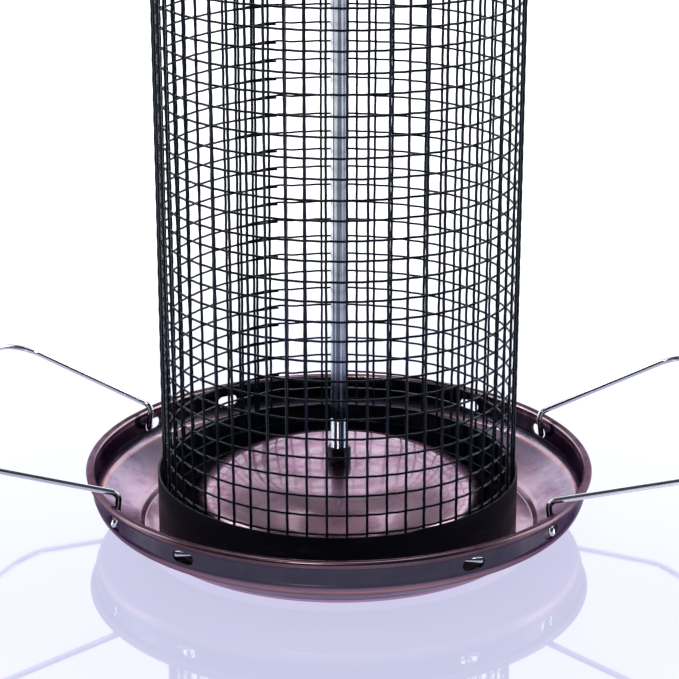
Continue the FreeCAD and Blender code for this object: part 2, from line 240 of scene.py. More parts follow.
# Painted dark reflection on the wall, on both faces.
WALL_DARK_REFLECTION_TONE = (0.042, 0.041, 0.052)

WORN_DIP_TONE = (0.020, 0.022, 0.028)
WORN_PAINT_TONE = (0.030, 0.020, 0.017)
# Painted reflection: dark blue streaks up the polished rod.
STREAK_REFLECTION_TONE = (0.060, 0.095, 0.165)
SWEEP_RADII = (0.12, 0.36)
SWEEP_WHITE = (1.0, 1.0, 1.0)


def shaded(shade, share):
    return tuple(share * part for part in shade)


def known(maker):
    """Make a finish the first time it is asked for and hand the same one out after that."""
    made = {}

    def ask(*arguments):
        if arguments not in made:
            made[arguments] = maker(*arguments)
        return made[arguments]
    return ask


@known
def spun_copper(name, wall_low, wall_high, wall_radius):
    """Antiqued copper off the lathe: fine rings, rubbed bright places and lacquer, with painted dark
    reflections on the wall, on the curled rim and towards the wall, painted shade on what faces down, and
    painted highlights on the rim's inner edge, the wall's foot and the foot ring.
    """
    tone = colours()
    finish = Finish(
        name, Metallic=1.0, Anisotropic=0.55, Coat_Roughness=0.08, Coat_IOR=1.9,
        Specular_Tint=(0.36, 0.30, 0.37, 1.0),
    )
    radius, across, deep, level = finish.round_axis()
    ring_place = finish.vector((radius + level * 0.8) * 1700, across * 0.9, deep * 0.9)
    rings = finish.noise(1.0, ring_place, 4.0, 0.7)
    broad_rings = finish.noise(0.16, ring_place, 2.0, 0.5)
    clouds = finish.noise(34.0, detail=4.0)
    stains = finish.noise(120.0, detail=5.0, roughness=0.65)
    rubbed = finish.step(clouds * 0.70 + broad_rings * 0.25 + rings * 0.20, 0.38, 0.78)
    # What faces down gets painted shade and loses its lacquer.
    facing_down = finish.step(finish.facing_up(), -0.05, -0.40)
    # The wall, which gets a painted dark reflection.
    wall = (
        finish.band(level, wall_low + 0.0012, wall_low + 0.0026, wall_high - 0.0008, wall_high)
        * finish.step(radius, wall_radius - 0.002, wall_radius)
    )
    # The curled rim, which gets a painted dark reflection.
    curled = (
        finish.step(level, wall_high, wall_high + 0.0006)
        * finish.step(radius, wall_radius - 0.0005, wall_radius)
    )
    # Where the painted highlight along the rim's inner top edge goes.
    lit_edge = finish.step(radius, *LIT_EDGE_RADII) * finish.step(level, *LIT_EDGE_LEVELS)
    foot_ring = finish.band(radius, *FOOT_RING_RADII) * finish.step(level, *FOOT_RING_LEVELS)
    wall_foot = finish.step(radius, *WALL_FOOT_RADII) * finish.band(level, *WALL_FOOT_LEVELS)
    copper = finish.mix(rubbed, tone.patina, tone.copper)
    # Apart from the stains, these layers are painted light and shade laid over the copper.
    for share, shade in (
        (finish.step(radius, *OUTER_DARK_REFLECTION_RADII) * 0.75, OUTER_DARK_REFLECTION_TONE),
        (finish.step(stains, 0.56, 0.80) * 0.35, shaded(tone.patina, 0.55)),
        (facing_down * 0.95, UNDERSIDE_SHADE_TONE),
        (curled * (0.96 - rubbed * 0.35), CURL_DARK_REFLECTION_TONE),
        (lit_edge * 0.85, LIT_EDGE_TONE),
        (foot_ring * 0.8, FOOT_RING_HIGHLIGHT_TONE),
        (wall_foot * (rubbed * 0.6 + 0.1), WALL_FOOT_HIGHLIGHT_TONE),
        (wall * (0.80 + rings * 0.2), WALL_DARK_REFLECTION_TONE),
    ):
        copper = finish.mix(share, copper, shade)
    lacquer = finish.step(stains, 0.8, 0.3) * 0.8
    for bare in (wall * 0.8, facing_down * 0.8, curled * 0.7):
        lacquer = lacquer * (1 - bare)
    rough = rings * 0.14 + clouds * 0.08 + (1 - rubbed) * 0.06 + 0.10
    return finish.feed(
        Base_Color=copper,
        Roughness=rough + foot_ring * 0.15,
        Coat_Weight=lacquer,
        Normal=finish.bump(rings * 0.7 + stains * 0.3, 0.08, 0.00012),
    )


@known
def dipped_black():
    """Thick black dip on the mesh wires, with a blue cast, small runs and thin places at the crossings."""
    tone = colours()
    finish = Finish("dipped_black", IOR=1.22, Specular_Tint=(0.55, 0.75, 1.0, 1.0))
    runs = finish.noise(900.0, finish.stretched((1, 1, 0.35)), 3.0)
    patches = finish.noise(60.0)
    base = finish.mix(finish.step(patches, 0.35, 0.7), tone.wire, shaded(tone.wire, 2.2))
    worn = finish.mix(finish.step(runs, 0.66, 0.80) * 0.5, base, WORN_DIP_TONE)
    return finish.feed(
        Base_Color=worn,
        Roughness=runs * 0.14 + patches * 0.10 + 0.16,
        Normal=finish.bump(runs, 0.25, 0.00006),
    )


@known
def painted_band():
    """Satin black paint on the rolled bands, with a fine grain, rub marks and brown at worn edges."""
    tone = colours()
    finish = Finish("painted_band", IOR=1.16, Specular_Tint=(0.50, 0.62, 1.0, 1.0))
    grain = finish.noise(1500.0, detail=2.0)
    rubs = finish.noise(70.0, finish.stretched((1, 1, 3.5)), 4.0, 0.65)
    base = finish.mix(finish.step(rubs, 0.5, 0.8) * 0.6, tone.band, shaded(tone.band, 3.0))
    worn = finish.mix(finish.step(rubs * 0.7 + grain * 0.3, 0.62, 0.72) * 0.5, base, WORN_PAINT_TONE)
    return finish.feed(
        Base_Color=worn,
        Roughness=rubs * 0.22 + grain * 0.10 + 0.22,
        Normal=finish.bump(grain, 0.22, 0.00005),
    )


@known
def drawn_steel(name, stretch, rough, reflection_share=0.0):
    """Polished drawn steel: fine scratches one way, dull marks, and, where asked for, dark streaks up it
    painted as a reflection of the surroundings.
    """
    tone = colours()
    finish = Finish(name, Metallic=1.0)
    scratches = finish.noise(1.0, finish.stretched(stretch), 4.0, 0.7)
    # Painted reflection: dark streaks up the steel.
    reflection_streaks = finish.step(finish.noise(1.0, finish.stretched((1300, 1300, 5)), 2.0), 0.42, 0.56)
    marks = finish.noise(240.0, detail=4.0, roughness=0.7)
    haze = finish.noise(45.0)
    plain = finish.mix(finish.step(haze, 0.3, 0.75), tone.steel, shaded(tone.steel, 0.82))
    base = finish.mix(reflection_streaks * reflection_share, plain, STREAK_REFLECTION_TONE)
    marked = finish.mix(finish.step(marks, 0.62, 0.78) * 0.55, base, shaded(tone.steel, 0.32))
    return finish.feed(
        Base_Color=marked,
        Roughness=scratches * 0.14 + finish.step(marks, 0.55, 0.8) * 0.16 + rough,
        Normal=finish.bump(scratches, 0.10, 0.00004),
    )


@known
def plain_metal(name, tone_name, metallic, rough, pit_scale):
    """Turned or plated small parts: lathe rings round the rod's axis, pits and handling marks."""
    shade = getattr(colours(), tone_name)
    finish = Finish(name, Metallic=metallic)
    radius, across, deep, level = finish.round_axis()
    rings = finish.noise(1.0, finish.vector((radius + level) * 4200, across, deep), 3.0, 0.6)
    pits = finish.noise(pit_scale, detail=4.0, roughness=0.65)
    base = finish.mix(finish.step(pits, 0.35, 0.75), shade, shaded(shade, 0.62))
    rubbed = finish.mix(finish.step(rings * 0.5 + pits * 0.5, 0.58, 0.72) * 0.6, base, shaded(shade, 1.45))
    return finish.feed(
        Base_Color=rubbed,
        Roughness=pits * 0.22 + rings * 0.12 + rough,
        Normal=finish.bump(rings * 0.5 + pits * 0.5, 0.16, 0.00006),
    )


@known
def moulded_black():
    """Moulded knob plastic with a fine spark texture and a polished bloom where fingers turn it."""
    shade = colours().plastic
    finish = Finish("moulded_black", IOR=1.49)
    spark = finish.noise(2600.0, detail=2.0)
    bloom = finish.noise(110.0, detail=4.0)
    base = finish.mix(finish.step(bloom, 0.35, 0.75), shade, shaded(shade, 2.4))
    return finish.feed(
        Base_Color=base,
        Roughness=bloom * 0.25 + spark * 0.12 + 0.24,
        Normal=finish.bump(spark, 0.30, 0.00005),
    )


@known
def glossy_table():
    """Glossy sheet lit from below, that fades into a white sweep away from the feeder."""
    shade = colours().table
    finish = Finish("glossy_table", IOR=2.0, Emission_Strength=1.0)
    radius = finish.round_axis()[0]
    haze = finish.noise(9.0, detail=2.0)
    smears = finish.noise(30.0, finish.stretched((1, 2.4, 1)), 3.0)
    sweep = finish.step(radius, *SWEEP_RADII)
    glow = finish.mix(finish.step(haze, 0.3, 0.8) * 0.3, shade, shaded(shade, 0.97))
    return finish.feed(
        Base_Color=finish.mix(sweep, shaded(shade, 0.12), shaded(shade, 0.10)),
        Roughness=smears * 0.03 + 0.03,
        Emission_Color=finish.mix(sweep, glow, SWEEP_WHITE),
        Normal=finish.bump(haze, 0.01, 0.0003),
    )


# ---------------------------------------------------------------- modelling by hand

CHAMFER_SLOPE = 0.58  # rise of a nut's chamfer for each step outwards


def deselect():
    if bpy.context.mode != "OBJECT":
        bpy.ops.object.mode_set(mode="OBJECT")
    bpy.ops.object.select_all(action="DESELECT")


def only(piece):
    deselect()
    piece.select_set(True)
    bpy.context.view_layer.objects.active = piece
    return piece


def primitive(kind, name, **place):
    """Add a primitive at its size and place, and put its place into its mesh."""
    deselect()
    getattr(bpy.ops.mesh, "primitive_%s_add" % kind)(**place)
    piece = bpy.context.object
    piece.name = name
    piece.data.name = name
    bpy.ops.object.transform_apply(location=True, rotation=True, scale=True)
    return piece


def edit(piece, *steps):
    """Run edit-mode steps on the whole of a piece."""
    only(piece)
    bpy.ops.object.mode_set(mode="EDIT")
    bpy.ops.mesh.select_mode(type="VERT")
    bpy.ops.mesh.select_all(action="SELECT")
    for step in steps:
        step()
    bpy.ops.object.mode_set(mode="OBJECT")
    return piece


def merge_doubles():
    bpy.ops.mesh.remove_doubles(threshold=1e-6)


def face_out():
    bpy.ops.mesh.normals_make_consistent(inside=False)


def apply_modifier(piece, kind, **settings):
    only(piece)
    modifier = piece.modifiers.new(kind.lower(), kind)
    for name, setting in settings.items():
        setattr(modifier, name, setting)
    bpy.ops.object.modifier_apply(modifier=modifier.name)
    return piece


def carve(piece, cutter, operation="DIFFERENCE"):
    apply_modifier(piece, "BOOLEAN", operation=operation, solver="EXACT", object=cutter)
    bpy.data.objects.remove(cutter)
    return piece


def rounded(piece, millimetres, segments=2, degrees=30):
    return apply_modifier(
        piece, "BEVEL", width=millimetres * MM, segments=segments,
        limit_method="ANGLE", angle_limit=math.radians(degrees),
    )


def smooth(piece, degrees=35):
    only(piece)
    bpy.ops.object.shade_smooth_by_angle(angle=math.radians(degrees))
    return piece


def turned_copy(piece, name, degrees):
    """A copy with its own mesh, turned round the rod's axis."""
    copy = piece.copy()
    copy.data = piece.data.copy()
    copy.name = name
    copy.data.name = name
    bpy.context.scene.collection.objects.link(copy)
    copy.data.transform(Matrix.Rotation(math.radians(degrees), 4, "Z"))
    return copy


def joined(pieces):
    deselect()
    for piece in pieces:
        piece.select_set(True)
    bpy.context.view_layer.objects.active = pieces[0]
    bpy.ops.object.join()
    return pieces[0]


def fillets(corners, radii, step_degrees=9.0):
    """Points along a line through the corners, with each inner corner turned on an arc of its radius."""
    points = [corners[0]]
    for before, corner, after, radius in zip(corners, corners[1:], corners[2:], radii):
        arriving = (corner - before).normalized()
        leaving = (after - corner).normalized()
        turn = arriving.angle(leaving)
        start = corner - arriving * radius * math.tan(turn / 2)
        outward = (leaving - arriving * math.cos(turn)).normalized()
        count = max(2, math.ceil(math.degrees(turn) / step_degrees))
        for k in range(count + 1):
            part = turn * k / count
            along, aside = radius * math.sin(part), radius * (1 - math.cos(part))
            points.append(start + arriving * along + outward * aside)
    points.append(corners[-1])
    return points


def curl(centre, radius, start, end, count):
    """Points of a curl in section, from one angle to another in degrees."""
    return [
        centre + radius * Vector((math.cos(math.radians(turn)), 0, math.sin(math.radians(turn))))
        for turn in (start + (end - start) * k / count for k in range(count + 1))
    ]


def section(*points):
    """Radius and level pairs as points of a half section, in millimetres."""
    return [Vector((radius, 0, level)) for radius, level in points]


def turned(name, outline, steps=96, angle=360.0):
    """Draw a half section point by point, then spin it round the rod's axis."""
    points = [point * MM for point in outline]
    piece = primitive("plane", name, size=MM, location=points[0])

    def draw():
        bpy.ops.mesh.merge(type="CENTER")
        for start, end in zip(points, points[1:]):
            bpy.ops.mesh.extrude_vertices_move(TRANSFORM_OT_translate={"value": end - start})
        bpy.ops.mesh.select_all(action="SELECT")
        bpy.ops.mesh.spin(steps=steps, angle=math.radians(angle), center=(0, 0, 0), axis=(0, 0, 1))
        bpy.ops.mesh.select_all(action="SELECT")
    return edit(piece, draw, merge_doubles, face_out)


def turned_solid(name, *corners, steps=96, edge=0.15):
    """A turned part from a closed half section, its edges broken."""
    piece = turned(name, section(*corners, corners[0]), steps)
    return smooth(rounded(piece, edge))


def wires(name, paths, thick, bevel_steps, chamfer=0.0):
    """Round wires along paths of points in millimetres; a chamfer narrows each free end."""
    line = bpy.data.curves.new(name, "CURVE")
    line.dimensions = "3D"
    line.bevel_depth = thick / 2
    line.bevel_resolution = bevel_steps
    line.use_fill_caps = True
    for path in paths:
        points = [point * MM for point in path]
        widths = [1.0] * len(points)
        if chamfer:
            for end, inner in ((0, 1), (-1, -2)):
                step_in = (points[inner] - points[end]).normalized() * chamfer * MM
                points.insert(1 if end == 0 else len(points) - 1, points[end] + step_in)
                widths.append(1.0)
            widths[0] = widths[-1] = 0.72
        spline = line.splines.new("POLY")
        spline.points.add(len(points) - 1)
        for slot, point, width in zip(spline.points, points, widths):
            slot.co = (*point, 1.0)
            slot.radius = width
    piece = bpy.data.objects.new(name, line)
    bpy.context.scene.collection.objects.link(piece)
    only(piece)
    bpy.ops.object.convert(target="MESH")
    piece = bpy.context.object
    edit(piece, merge_doubles, face_out)
    return smooth(piece, 50)


def hexagon(name, across_flats, low, high, bore):
    """A hexagon nut with chamfered corners and a bore."""
    depth = high - low
    corner = across_flats / math.sqrt(3)
    nut = primitive(
        "cylinder", name, vertices=6, radius=corner * MM, depth=depth * MM,
        location=(0, 0, (low + high) / 2 * MM), rotation=(0, 0, math.radians(30)),
    )
    flat = across_flats / 2
    slope = (corner - flat) * CHAMFER_SLOPE
    past_corner = corner + 0.02
    lens = turned(name + "_lens", section(
        (0, low), (flat, low), (past_corner, low + slope), (past_corner, high - slope), (flat, high),
        (0, high), (0, low),
    ), 48)
    carve(nut, lens, "INTERSECT")
    hole = primitive(
        "cylinder", name + "_hole", vertices=48, radius=bore * MM, depth=(depth + 2) * MM,
        location=(0, 0, (low + high) / 2 * MM),
    )
    carve(nut, hole)
    return smooth(rounded(nut, 0.12, 2, 25), 25)


def hand_over(piece, finish, body, slot, *nodes):
    """Give a finished piece its finish and its body, and hide the frame nodes it stands for."""
    piece.data.materials.clear()
    piece.data.materials.append(finish)
    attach(piece, body)
    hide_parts(*nodes)
    return piece


# ---------------------------------------------------------------- the pieces

TRAY_LINE = section(
    (3.1, 20.5), (9.0, 20.5), (34.0, 19.6), (47.5, 12.0), (52.6, 0.4),
    (66.0, 0.4), (67.4, 2.0), (81.2, 10.4), (82.5, 14.0), (82.5, 20.9),
)
TRAY_BENDS = (10.0, 30.0, 12.0, 1.4, 0.8, 1.0, 4.0, 3.0)
SLOT_LEVEL = 16.0
SLOT_OFFSET = 32.8  # degrees either side of each quarter
SLOT_HALF_WIDE, SLOT_HALF_HIGH = 4.0, 2.0


class FEEDER_OT_tray(bpy.types.Operator):
    """Spin the copper tray, curl its rim and punch the wire slots"""
    bl_idname = "feeder.tray"
    bl_label = "Copper tray"

    def execute(self, context):
        line = fillets(TRAY_LINE, TRAY_BENDS)[:-1] + curl(Vector((83.5, 0, 20.9)), 1.0, 180, -112, 26)
        tray = turned("copper_tray", line, 224)
        apply_modifier(tray, "SOLIDIFY", thickness=sizes().gauge, offset=0.0, use_quality_normals=True)
        punches = [
            self.punch(quarter * 90 + side * SLOT_OFFSET) for quarter in range(4) for side in (-1, 1)
        ]
        carve(tray, joined(punches))
        edit(tray, merge_doubles)
        smooth(tray, 32)
        hand_over(tray, spun_copper("tray_copper", 0.0105, 0.0198, 0.0815), "feeder", "copper", "tray")
        return {"FINISHED"}

    @staticmethod
    def punch(degrees):
        """A round-ended punch set through the wall."""
        half_wide, half_high = SLOT_HALF_WIDE * MM, SLOT_HALF_HIGH * MM
        tool = primitive(
            "cylinder", "slot_punch", vertices=32, radius=half_high, depth=7 * MM,
            location=(0.083, 0, SLOT_LEVEL * MM), rotation=(0, math.radians(90), 0),
        )
        for vertex in tool.data.vertices:
            if abs(vertex.co.y) > 1e-6:
                vertex.co.y += math.copysign(half_wide - half_high, vertex.co.y)
        tool.data.transform(Matrix.Rotation(math.radians(degrees), 4, "Z"))
        return tool


class FEEDER_OT_bands(bpy.types.Operator):
    """Roll the two black bands, lap their ends at the back and rivet them"""
    bl_idname = "feeder.bands"
    bl_label = "Black bands"

    HIGH = 18.9
    RADIUS = 59.75
    SWEEP = 372.0  # a full turn and the lap, in degrees
    FIRST_END = 117.0
    RISE_EARLY, RISE_OVER, RISE = 2.0, 2.6, 0.85  # degrees before the full turn, degrees, millimetres
    RIVET_HEADING = 123.0
    RIVET_HEIGHTS = (0.28, 0.72)

    def execute(self, context):
        for name, node, low in (("base_band_strip", "base_band", 0.8), ("top_band_strip", "top_band", 242.0)):
            strip = self.strip(name, low)
            hand_over(strip, painted_band(), "feeder", "black_band", node)
            heights = [low + self.HIGH * share for share in self.RIVET_HEIGHTS]
            rivets = joined([self.rivet(name + "_rivet", height) for height in heights])
            rivets.name = node + "_rivet_pair"
            rivets.data.name = rivets.name
            smooth(rivets)
            hand_over(rivets, plain_metal("blackened_rivet", "fitting", 0.9, 0.2, 500.0), "feeder",
                      "black_fitting", node + "_rivets")
        return {"FINISHED"}

    @classmethod
    def strip(cls, name, low):
        """One strip rolled a little past a full turn, its last stretch riding up over its first."""
        steps = 186
        strip = turned(name, section((cls.RADIUS, low), (cls.RADIUS, low + cls.HIGH)), steps, cls.SWEEP)
        row = len(strip.data.vertices) // (steps + 1)
        for index, vertex in enumerate(strip.data.vertices):
            past = max(0.0, (index // row) * cls.SWEEP / steps - 360.0 + cls.RISE_EARLY)
            lift = cls.RISE * min(1.0, past / cls.RISE_OVER)
            radius = vertex.co.xy.length
            vertex.co.xy *= (radius + lift * MM) / radius
        strip.data.transform(Matrix.Rotation(math.radians(cls.FIRST_END), 4, "Z"))
        apply_modifier(strip, "SOLIDIFY", thickness=sizes().gauge, offset=0.0)
        return smooth(rounded(strip, 0.16, 2, 50), 40)

    @classmethod
    def rivet(cls, name, level):
        """A domed rivet through the lap, with a flat head inside."""
        profile = section((0, -1.5), (1.5, -1.5), (1.5, -1.1), (0.7, -1.1), (0.7, 0.45), (1.9, 0.45))
        dome = curl(Vector((0, 0, 0.45)), 1.9, 0, 90, 8)[1:]
        outline = profile + [Vector((p.x, 0, 0.45 + (p.z - 0.45) * 0.6)) for p in dome] + section((0, -1.5))
        rivet = turned(name, outline, 24)
        heading = Matrix.Rotation(math.radians(cls.RIVET_HEADING), 4, "Z")
        place = Matrix.Translation(((cls.RADIUS + cls.RISE) * MM, 0, level * MM))
        rivet.data.transform(heading @ place @ Matrix.Rotation(math.radians(90), 4, "Y"))
        return rivet


class FEEDER_OT_mesh(bpy.types.Operator):
    """Weave the mesh: upright wires crimped over open hoops whose ends lap at the back"""
    bl_idname = "feeder.mesh"
    bl_label = "Wire mesh"

    UPRIGHT_STEP = 6.12
    FIRST_UPRIGHT = -147.75
    UPRIGHTS = 61
    UPRIGHT_RADIUS = 58.86
    HOOPS = 40
    FIRST_HOOP = 7.0
    HOOP_RADIUS = 57.98
    LAP_START, LAP_SETTLED = 198.0, 6.0  # heading where a hoop's end turns inwards, and over how many degrees

    def execute(self, context):
        chance = random.Random(7)
        lean = [chance.uniform(-0.08, 0.08) for k in range(self.UPRIGHTS)]
        sag = [chance.uniform(-0.10, 0.10) for k in range(self.HOOPS)]
        uprights = wires("upright_wires", [self.upright(k, lean[k], chance) for k in range(self.UPRIGHTS)],
                         sizes().upright_wire, 1)
        hand_over(uprights, dipped_black(), "feeder", "black_wire", "mesh_uprights")
        hoops = wires("hoop_wires", [self.hoop(k, sag[k], chance) for k in range(self.HOOPS)],
                      sizes().hoop_wire, 1)
        hand_over(hoops, dipped_black(), "feeder", "black_wire", "mesh_hoops")
        return {"FINISHED"}

    def upright(self, number, lean, chance):
        """Four points to each pitch: out over a hoop, sideways, in between two hoops, sideways."""
        pitch = sizes().mesh_pitch / MM
        crimp = sizes().crimp / MM
        low, high = UPRIGHT_BOX[0].z / MM, UPRIGHT_BOX[1].z / MM
        wander = chance.uniform(0, 2 * math.pi)
        points = []
        for k in range(-2, 4 * self.HOOPS - 1):
            level = self.FIRST_HOOP + k * pitch / 4
            phase = math.pi / 2 * k
            radius = self.UPRIGHT_RADIUS - crimp / 2 * (1 - math.cos(phase))
            aside = 0.045 * math.sin(phase) + lean + 0.08 * math.sin(level / 31.0 + wander)
            turn = math.radians(self.FIRST_UPRIGHT + number * self.UPRIGHT_STEP - 90) + aside / radius
            points.append(Vector((radius * math.cos(turn), radius * math.sin(turn), level)))
        points[0].z = low
        points[-1].z = high
        return points

    def hoop(self, number, sag, chance):
        """Four points to each upright; the free ends lie side by side over the lap."""
        level = self.FIRST_HOOP + number * sizes().mesh_pitch / MM
        waver = -34 + round(chance.uniform(-1, 1))
        count = 4 * (self.UPRIGHTS - 1) + 2
        last_wide = chance.uniform(0.62, 0.95)
        wander = chance.uniform(0, 2 * math.pi)
        points = []
        for k in range(-5, count):
            angle = self.FIRST_UPRIGHT + k * self.UPRIGHT_STEP / 4
            phase = math.pi / 2 * k
            lap = min(1.0, max(0.0, (angle - self.LAP_START) / self.LAP_SETTLED))
            radius = self.HOOP_RADIUS + 0.03 * (1 - math.cos(phase)) - 0.55 * lap
            rise = 0.065 * math.sin(phase) + sag + 0.10 * math.sin(2 * math.radians(angle) + wander)
            rise += last_wide * lap * (0.55 + 0.45 * math.sin(waver + angle / 5.0))
            turn = math.radians(angle - 90)
            points.append(Vector((radius * math.cos(turn), radius * math.sin(turn), level + rise)))
        return points


class FEEDER_OT_rod(bpy.types.Operator):
    """Turn the centre rod and the nuts and washers that clamp the tray to it"""
    bl_idname = "feeder.rod"
    bl_label = "Rod and fittings"

    NUT_BORE = 2.77
    LOW_THREAD_END, HIGH_THREAD_START = 37.0, 281.0

    def execute(self, context):
        rod = self.threaded_rod()
        # The rod carries the painted reflection streaks at a share of 0.85.
        polished = drawn_steel("polished_rod", (900, 900, 60), 0.05, 0.85)
        hand_over(rod, polished, "feeder", "bright_steel", "centre_rod")
        black = plain_metal("blackened_fitting", "fitting", 0.85, 0.18, 420.0)
        plated = plain_metal("plated_nut", "zinc", 1.0, 0.22, 380.0)
        foot_nut = hexagon("foot_hexagon", 7.0, 21.7, 26.5, self.NUT_BORE)
        hand_over(foot_nut, black, "feeder", "black_fitting", "foot_nut")
        tray_nut = hexagon("tray_hexagon", 10.0, 14.7, 19.3, self.NUT_BORE)
        hand_over(tray_nut, plated, "feeder", "zinc_steel", "tray_nut")
        foot_washer = turned_solid("foot_disc", (2.8, 20.9), (4.1, 20.9), (4.1, 21.7), (2.8, 21.7))
        hand_over(foot_washer, black, "feeder", "black_fitting", "foot_washer")
        tray_washer = turned_solid("tray_disc", (2.8, 19.3), (7.75, 19.3), (7.75, 20.1), (2.8, 20.1))
        hand_over(tray_washer, plated, "feeder", "zinc_steel", "tray_washer")
        return {"FINISHED"}

    @classmethod
    def threaded_rod(cls):
        """A polished bar, threaded at the foot, above the lid and at the top."""
        low, high = ROD_BOX[0].z / MM, ROD_BOX[1].z / MM
        radius, depth, pitch = 2.75, 0.32, 0.8
        outline = [(0, low), (radius - 0.5, low)]
        for start, end in ((low + 0.5, cls.LOW_THREAD_END), (cls.HIGH_THREAD_START, high - 0.5)):
            outline.append((radius, start))
            level = start
            while level + pitch < end:
                outline += [(radius - depth, level + pitch * 0.45), (radius, level + pitch * 0.9)]
                level += pitch
            outline.append((radius, end))
        outline += [(radius - 0.5, high), (0, high)]
        return smooth(turned("threaded_rod", section(*outline), 48), 28)


class FEEDER_OT_perches(bpy.types.Operator):
    """Bend the fold-up perches and the low front stay from steel wire"""
    bl_idname = "feeder.perches"
    bl_label = "Perches and stay"

    FOLD_LINE = 69.8
    PIN_END, KNEE = 45.9, 38.6
    RIM_CORNER = (68.7, 40.0, 24.5)
    LEG, SHOULDER = 43.6, 18.0
    CHAMFER = 0.35

    def execute(self, context):
        thick = sizes().perch_wire
        wire_finish = drawn_steel("drawn_wire", (180, 900, 900), 0.05)
        right = wires("right_perch_wire", [self.perch_path()], thick, 6, self.CHAMFER)
        left = turned_copy(right, "left_perch_wire", 180)
        hand_over(right, wire_finish, "right_perch", "bright_steel", "right_perch")
        hand_over(left, wire_finish, "left_perch", "bright_steel", "left_perch")
        stay = wires("front_stay_wire", [self.stay_path()], thick, 6, self.CHAMFER)
        stay.data.transform(Matrix.Rotation(math.radians(-90), 4, "Z"))
        hand_over(stay, wire_finish, "feeder", "bright_steel", "front_stay")
        return {"FINISHED"}

    @classmethod
    def perch_path(cls):
        """Pin, knee, bend over the rim, flared leg, corner and nose, then the same mirrored."""
        slope, flare, turn = (math.radians(angle) for angle in (18.5, 17.5, 76.0))
        knee, over_rim, corner = 2.0, 3.2, 12.0
        outward = Vector((math.cos(slope), 0, math.sin(slope)))
        across = Vector((0, 1, 0))
        heading = outward * math.cos(flare) + across * math.sin(flare)
        side = outward * math.cos(flare - turn) + across * math.sin(flare - turn)
        rim_reach = over_rim * math.tan(heading.angle(Vector((0, 0, 1))) / 2)
        corner_reach = corner * math.tan(turn / 2)
        rim_corner = Vector(cls.RIM_CORNER)
        outer_corner = rim_corner + heading * (rim_reach + cls.LEG + corner_reach)
        side_end = outer_corner + side * (corner_reach + cls.SHOULDER)
        nose = side_end.y / math.cos(flare - turn)
        nose_corner = side_end + side * (side_end.y / -side.y)
        pin, bend = (Vector((cls.FOLD_LINE, aside, SLOT_LEVEL)) for aside in (cls.PIN_END, cls.KNEE))
        half = [pin, bend, rim_corner, outer_corner]
        radii = (knee, over_rim, corner, nose, corner, over_rim, knee)
        return fillets(half + [nose_corner] + cls.mirrored(half), radii, 4.0)

    @classmethod
    def stay_path(cls):
        """Tip through a slot, bend, and run low inside the wall, then the same mirrored."""
        half = [
            Vector((66.9, 47.7, SLOT_LEVEL)), Vector((66.9, 41.6, SLOT_LEVEL)), Vector((66.0, 37.4, 11.4)),
        ]
        return fillets(half + cls.mirrored(half), (2.4, 3.0, 3.0, 2.4), 6.0)

    @staticmethod
    def mirrored(points):
        return [Vector((point.x, -point.y, point.z)) for point in reversed(points)]


class FEEDER_OT_lid(bpy.types.Operator):
    """Spin the lid with its curled brim, its locating ring and its bush"""
    bl_idname = "feeder.lid"
    bl_label = "Lid"

    def execute(self, context):
        line = section(
            (4.3, 283.6), (13.0, 283.6), (50.0, 268.1), (55.0, 261.6), (63.0, 261.6), (74.9, 257.2),
        )
        bends = (9.0, 6.0, 1.6, 5.0)
        brim = curl(Vector((76.0, 0, 256.0)), 1.2, 118, -170, 26)
        lid = turned("copper_lid", fillets(line, bends)[:-1] + brim, 224)
        apply_modifier(lid, "SOLIDIFY", thickness=sizes().gauge, offset=0.0, use_quality_normals=True)
        hand_over(smooth(lid, 32), spun_copper("lid_copper", 0.2565, 0.2600, 0.0765), "lid", "copper", "lid")
        ring = turned_solid(
            "locating_collar", (55.6, 251.2), (56.4, 251.2), (56.4, 261.2), (55.6, 261.2), steps=192,
        )
        hand_over(ring, painted_band(), "lid", "black_band", "lid_locating_ring")
        bush = turned_solid(
            "lid_ferrule", (3.0, 282.0), (4.2, 282.0), (4.2, 284.0), (7.0, 284.0), (7.0, 285.0), (3.0, 285.0),
            steps=64, edge=0.2,
        )
        brass = plain_metal("turned_brass_bush", "brass", 1.0, 0.16, 300.0)
        hand_over(bush, brass, "lid", "brass", "lid_bush")
        return {"FINISHED"}


class FEEDER_OT_knob(bpy.types.Operator):
    """Turn the fluted knob and its threaded insert"""
    bl_idname = "feeder.knob"
    bl_label = "Lid knob"

    LOW, HIGH = 285.1, 296.1
    FLUTES = 18

    def execute(self, context):
        low, high = self.LOW, self.HIGH
        knob = turned("fluted_knob", section(
            (4.0, low), (7.2, low), (8.2, low + 0.7), (8.6, low + 1.8), (8.6, low + 7.2), (8.3, low + 8.6),
            (7.5, low + 9.9), (6.4, low + 10.7), (5.2, high), (4.0, high), (4.0, low),
        ), 144)
        flute = primitive(
            "cylinder", "flute", vertices=24, radius=0.75 * MM, depth=20 * MM,
            location=(8.95 * MM, 0, (low + 5) * MM),
        )
        apart = 360 // self.FLUTES
        flutes = [flute] + [turned_copy(flute, "flute_%d" % k, apart * k) for k in range(1, self.FLUTES)]
        carve(knob, joined(flutes))
        knob = smooth(rounded(knob, 0.18, 2, 28), 30)
        hand_over(knob, moulded_black(), "lid_knob", "black_plastic", "lid_knob")
        insert = turned_solid(
            "brass_insert", (2.81, low), (4.0, low), (4.0, high), (2.81, high), steps=48, edge=0.12,
        )
        brass = plain_metal("knob_brass", "brass", 1.0, 0.14, 300.0)
        hand_over(insert, brass, "lid_knob", "brass", "knob_insert")
        return {"FINISHED"}


